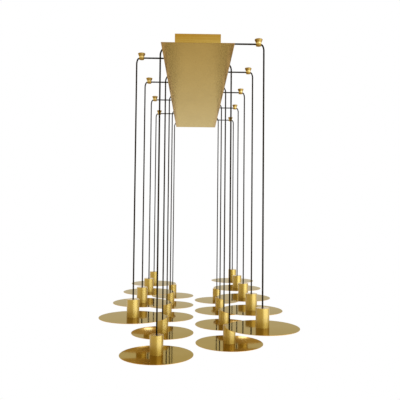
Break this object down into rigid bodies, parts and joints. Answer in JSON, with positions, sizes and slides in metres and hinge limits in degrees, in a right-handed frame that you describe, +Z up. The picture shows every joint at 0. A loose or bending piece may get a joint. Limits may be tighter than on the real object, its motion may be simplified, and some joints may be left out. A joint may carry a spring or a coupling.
{
  "type": "pendant lamp",
  "caption": "Long brass ceiling box and screen plate from which disc-shaped lamps hang on black cords, in staggered rows at two heights.",
  "frame": {"origin": "middle of the fixture on the ceiling plane, at the centre of the middle mounting bar's top face", "axes": "+Z up, out of the ceiling; +Y along the ceiling box, away from the end seen first; +X to the right, looking along +Y"},
  "size_m": [0.99, 2.214, 1.512],
  "materials": {
    "satin_brass": "satin brass sheet, lightly brushed",
    "plate_brass": "brass sheet, softly polished, blurred mirror",
    "polished_brass": "mirror-polished discs, satin turned tubes",
    "turned_brass": "turned and polished brass",
    "black_cord": "black braided textile over a round cable",
    "zinc_steel": "zinc-plated steel",
    "white_plastic": "moulded off-white plastic",
    "black_plastic": "moulded black plastic",
    "ceramic": "glazed ceramic of the lampholders",
    "lamp_glass": "lit frosted glass front of the lamps",
    "lamp_body": "metallised glass reflector"
  },
  "bodies": {
    "ceiling_fixture": {"ceiling_box": "satin_brass", "screen_plate": "plate_brass", "mounting_bar_middle": "zinc_steel", "mounting_bar_front": "zinc_steel", "terminal_block_front": "white_plastic", "box_screw_left_front": "zinc_steel", "plate_nut_left_front": "zinc_steel", "box_screw_right_front": "zinc_steel", "plate_nut_right_front": "zinc_steel", "mounting_bar_rear": "zinc_steel", "terminal_block_rear": "white_plastic", "box_screw_left_rear": "zinc_steel", "plate_nut_left_rear": "zinc_steel", "box_screw_right_rear": "zinc_steel", "plate_nut_right_rear": "zinc_steel", "hook_right_1": "turned_brass", "hook_left_2": "turned_brass", "hook_right_3": "turned_brass", "hook_left_4": "turned_brass", "hook_right_5": "turned_brass", "hook_left_6": "turned_brass", "hook_right_7": "turned_brass", "hook_left_8": "turned_brass", "hook_right_9": "turned_brass"},
    "pendant_left_1": {"cord_left_1": "black_cord", "shade_left_1": "polished_brass"},
    "pendant_right_1": {"cord_right_1": "black_cord", "shade_right_1": "polished_brass"},
    "pendant_left_2": {"cord_left_2": "black_cord", "shade_left_2": "polished_brass"},
    "pendant_right_2": {"cord_right_2": "black_cord", "shade_right_2": "polished_brass"},
    "pendant_left_3": {"cord_left_3": "black_cord", "shade_left_3": "polished_brass"},
    "pendant_right_3": {"cord_right_3": "black_cord", "shade_right_3": "polished_brass"},
    "pendant_left_4": {"cord_left_4": "black_cord", "shade_left_4": "polished_brass"},
    "pendant_right_4": {"cord_right_4": "black_cord", "shade_right_4": "polished_brass"},
    "pendant_left_5": {"cord_left_5": "black_cord", "shade_left_5": "polished_brass"},
    "pendant_right_5": {"cord_right_5": "black_cord", "shade_right_5": "polished_brass"},
    "pendant_left_6": {"cord_left_6": "black_cord", "shade_left_6": "polished_brass"},
    "pendant_right_6": {"cord_right_6": "black_cord", "shade_right_6": "polished_brass"},
    "pendant_left_7": {"cord_left_7": "black_cord", "shade_left_7": "polished_brass"},
    "pendant_right_7": {"cord_right_7": "black_cord", "shade_right_7": "polished_brass"},
    "pendant_left_8": {"cord_left_8": "black_cord", "shade_left_8": "polished_brass"},
    "pendant_right_8": {"cord_right_8": "black_cord", "shade_right_8": "polished_brass"},
    "pendant_left_9": {"cord_left_9": "black_cord", "shade_left_9": "polished_brass"},
    "pendant_right_9": {"cord_right_9": "black_cord", "shade_right_9": "polished_brass"}
  },
  "joints": [
    {"name": "swing_left_1", "type": "hinge", "parent": "ceiling_fixture", "child": "pendant_left_1", "pos_m": [-0.1085, -0.932, -0.024], "axis": [1, 0, 0], "range_deg": [-4, 4]},
    {"name": "swing_right_1", "type": "hinge", "parent": "ceiling_fixture", "child": "pendant_right_1", "pos_m": [0.2945, -0.932, -0.024], "axis": [1, 0, 0], "range_deg": [-4, 4]},
    {"name": "swing_left_2", "type": "hinge", "parent": "ceiling_fixture", "child": "pendant_left_2", "pos_m": [-0.2945, -0.699, -0.024], "axis": [1, 0, 0], "range_deg": [-4, 4]},
    {"name": "swing_right_2", "type": "hinge", "parent": "ceiling_fixture", "child": "pendant_right_2", "pos_m": [0.1085, -0.699, -0.024], "axis": [1, 0, 0], "range_deg": [-4, 4]},
    {"name": "swing_left_3", "type": "hinge", "parent": "ceiling_fixture", "child": "pendant_left_3", "pos_m": [-0.1085, -0.466, -0.024], "axis": [1, 0, 0], "range_deg": [-4, 4]},
    {"name": "swing_right_3", "type": "hinge", "parent": "ceiling_fixture", "child": "pendant_right_3", "pos_m": [0.2945, -0.466, -0.024], "axis": [1, 0, 0], "range_deg": [-4, 4]},
    {"name": "swing_left_4", "type": "hinge", "parent": "ceiling_fixture", "child": "pendant_left_4", "pos_m": [-0.2945, -0.233, -0.024], "axis": [1, 0, 0], "range_deg": [-4, 4]},
    {"name": "swing_right_4", "type": "hinge", "parent": "ceiling_fixture", "child": "pendant_right_4", "pos_m": [0.1085, -0.233, -0.024], "axis": [1, 0, 0], "range_deg": [-4, 4]},
    {"name": "swing_left_5", "type": "hinge", "parent": "ceiling_fixture", "child": "pendant_left_5", "pos_m": [-0.1085, 0, -0.024], "axis": [1, 0, 0], "range_deg": [-4, 4]},
    {"name": "swing_right_5", "type": "hinge", "parent": "ceiling_fixture", "child": "pendant_right_5", "pos_m": [0.2945, 0, -0.024], "axis": [1, 0, 0], "range_deg": [-4, 4]},
    {"name": "swing_left_6", "type": "hinge", "parent": "ceiling_fixture", "child": "pendant_left_6", "pos_m": [-0.2945, 0.233, -0.024], "axis": [1, 0, 0], "range_deg": [-4, 4]},
    {"name": "swing_right_6", "type": "hinge", "parent": "ceiling_fixture", "child": "pendant_right_6", "pos_m": [0.1085, 0.233, -0.024], "axis": [1, 0, 0], "range_deg": [-4, 4]},
    {"name": "swing_left_7", "type": "hinge", "parent": "ceiling_fixture", "child": "pendant_left_7", "pos_m": [-0.1085, 0.466, -0.024], "axis": [1, 0, 0], "range_deg": [-4, 4]},
    {"name": "swing_right_7", "type": "hinge", "parent": "ceiling_fixture", "child": "pendant_right_7", "pos_m": [0.2945, 0.466, -0.024], "axis": [1, 0, 0], "range_deg": [-4, 4]},
    {"name": "swing_left_8", "type": "hinge", "parent": "ceiling_fixture", "child": "pendant_left_8", "pos_m": [-0.2945, 0.699, -0.024], "axis": [1, 0, 0], "range_deg": [-4, 4]},
    {"name": "swing_right_8", "type": "hinge", "parent": "ceiling_fixture", "child": "pendant_right_8", "pos_m": [0.1085, 0.699, -0.024], "axis": [1, 0, 0], "range_deg": [-4, 4]},
    {"name": "swing_left_9", "type": "hinge", "parent": "ceiling_fixture", "child": "pendant_left_9", "pos_m": [-0.1085, 0.932, -0.024], "axis": [1, 0, 0], "range_deg": [-4, 4]},
    {"name": "swing_right_9", "type": "hinge", "parent": "ceiling_fixture", "child": "pendant_right_9", "pos_m": [0.2945, 0.932, -0.024], "axis": [1, 0, 0], "range_deg": [-4, 4]}
  ]
}
